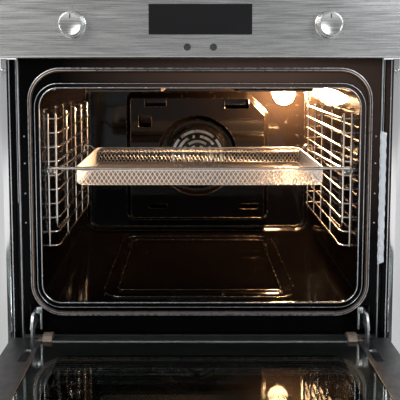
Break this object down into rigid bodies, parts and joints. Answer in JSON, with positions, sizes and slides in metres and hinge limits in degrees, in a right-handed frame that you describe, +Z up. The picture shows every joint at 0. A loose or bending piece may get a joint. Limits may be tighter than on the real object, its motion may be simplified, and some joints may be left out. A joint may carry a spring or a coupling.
{
  "type": "built-in wall oven",
  "caption": "Built-in electric wall oven with drop-down glass door, air-fry basket on wire side racks, fan behind a rear cover, lamp, control panel and a cooling blower in a sheet housing.",
  "frame": {"origin": "middle of the housing's underside, on the shelf the oven stands on", "axes": "+X to the oven's right as seen from the front, +Y from the front into the cabinet, +Z up; the door is stored open"},
  "size_m": [0.595, 1.0203, 0.595],
  "materials": {
    "zinc_sheet": "zinc-coated steel sheet, dull spangle",
    "black_enamel": "glossy black vitreous enamel",
    "seal_braid": "matt grey heat-resistant profile",
    "brushed_stainless": "fine horizontal brushing",
    "bright_steel": "plain bright steel",
    "chrome_wire": "polished plating",
    "mineral_wool": "matt fibre blanket",
    "lamp_ceramic": "unglazed",
    "lamp_bulb": "frosted halogen capsule",
    "clear_glass": "tempered, clear",
    "black_glass": "tempered, black printed, gloss",
    "black_plastic": "fine texture",
    "circuit_board": "solder-masked",
    "aluminium_profile": "satin anodised",
    "bronze_clip": "satin bronze colour"
  },
  "bodies": {
    "oven": {"housing_base": "zinc_sheet", "housing_side_right": "zinc_sheet", "housing_side_left": "zinc_sheet", "housing_back": "zinc_sheet", "housing_top": "zinc_sheet", "blower_shelf": "zinc_sheet", "terminal_box": "black_plastic", "front_plate": "black_enamel", "door_seal": "seal_braid", "side_trim_right": "brushed_stainless", "side_trim_left": "brushed_stainless", "mounting_screw_right": "bright_steel", "mounting_screw_left": "bright_steel", "cavity_shell": "black_enamel", "cavity_back": "black_enamel", "insulation": "mineral_wool", "side_rack_right": "chrome_wire", "side_rack_left": "chrome_wire", "rack_stud_right": "bright_steel", "rack_stud_left": "bright_steel", "fan_cover": "black_enamel", "fan_motor": "bright_steel", "ring_element": "bright_steel", "grill_element": "bright_steel", "floor_element": "bright_steel", "lamp_socket": "lamp_ceramic", "lamp_bulb": "lamp_bulb", "lamp_glass": "clear_glass", "blower_duct": "zinc_sheet", "control_fascia": "brushed_stainless", "display_window": "black_glass", "control_board": "circuit_board", "selector_left": "black_plastic", "selector_right": "black_plastic", "hinge_receiver_right": "zinc_sheet", "hinge_receiver_left": "zinc_sheet", "hinge_arm_right": "chrome_wire", "hinge_arm_left": "chrome_wire"},
    "door": {"door_outer_glass": "black_glass", "door_middle_glass": "clear_glass", "door_inner_glass": "clear_glass", "door_column_right": "aluminium_profile", "door_column_left": "aluminium_profile", "door_top_rail": "aluminium_profile", "door_bottom_rail": "aluminium_profile", "hinge_body_right": "bright_steel", "hinge_body_left": "bright_steel", "glass_clip_right": "bronze_clip", "glass_clip_left": "bronze_clip", "door_handle": "brushed_stainless"},
    "basket": {"basket_frame": "chrome_wire", "basket_mesh": "chrome_wire"},
    "hinge_lock_left": {"hinge_lock_left": "chrome_wire"},
    "hinge_lock_right": {"hinge_lock_right": "chrome_wire"},
    "knob_left": {"knob_left": "brushed_stainless"},
    "knob_right": {"knob_right": "brushed_stainless"},
    "button_1": {"button_1": "black_plastic"},
    "button_2": {"button_2": "black_plastic"},
    "fan": {"fan_impeller": "bright_steel"},
    "blower": {"blower_rotor": "black_plastic"}
  },
  "joints": [
    {"name": "door_hinge", "type": "hinge", "parent": "oven", "child": "door", "pos_m": [0, -0.2925, 0.058], "axis": [-1, 0, 0], "range_deg": [0, 90]},
    {"name": "basket_slide", "type": "slide", "parent": "oven", "child": "basket", "axis": [0, 1, 0], "range_m": [-0.2, 0]},
    {"name": "hinge_lock_left_flip", "type": "hinge", "parent": "oven", "child": "hinge_lock_left", "pos_m": [-0.2548, -0.2785, 0.106], "axis": [1, 0, 0], "range_deg": [-70, 0]},
    {"name": "hinge_lock_right_flip", "type": "hinge", "parent": "oven", "child": "hinge_lock_right", "pos_m": [0.2548, -0.2785, 0.106], "axis": [1, 0, 0], "range_deg": [-70, 0]},
    {"name": "function_turn", "type": "hinge", "parent": "oven", "child": "knob_left", "pos_m": [-0.185, -0.3, 0.547], "axis": [0, 1, 0], "continuous": true},
    {"name": "thermostat_turn", "type": "hinge", "parent": "oven", "child": "knob_right", "pos_m": [0.185, -0.3, 0.547], "axis": [0, 1, 0], "range_deg": [0, 270]},
    {"name": "button_1_press", "type": "slide", "parent": "oven", "child": "button_1", "axis": [0, 1, 0], "range_m": [0, 0.0012], "stiffness_N_per_m": 400},
    {"name": "button_2_press", "type": "slide", "parent": "oven", "child": "button_2", "axis": [0, 1, 0], "range_m": [0, 0.0012], "stiffness_N_per_m": 400},
    {"name": "fan_spin", "type": "hinge", "parent": "oven", "child": "fan", "pos_m": [0, 0.14, 0.294], "axis": [0, 1, 0], "continuous": true},
    {"name": "blower_spin", "type": "hinge", "parent": "oven", "child": "blower", "pos_m": [0, -0.1025, 0.529], "axis": [1, 0, 0], "continuous": true}
  ]
}
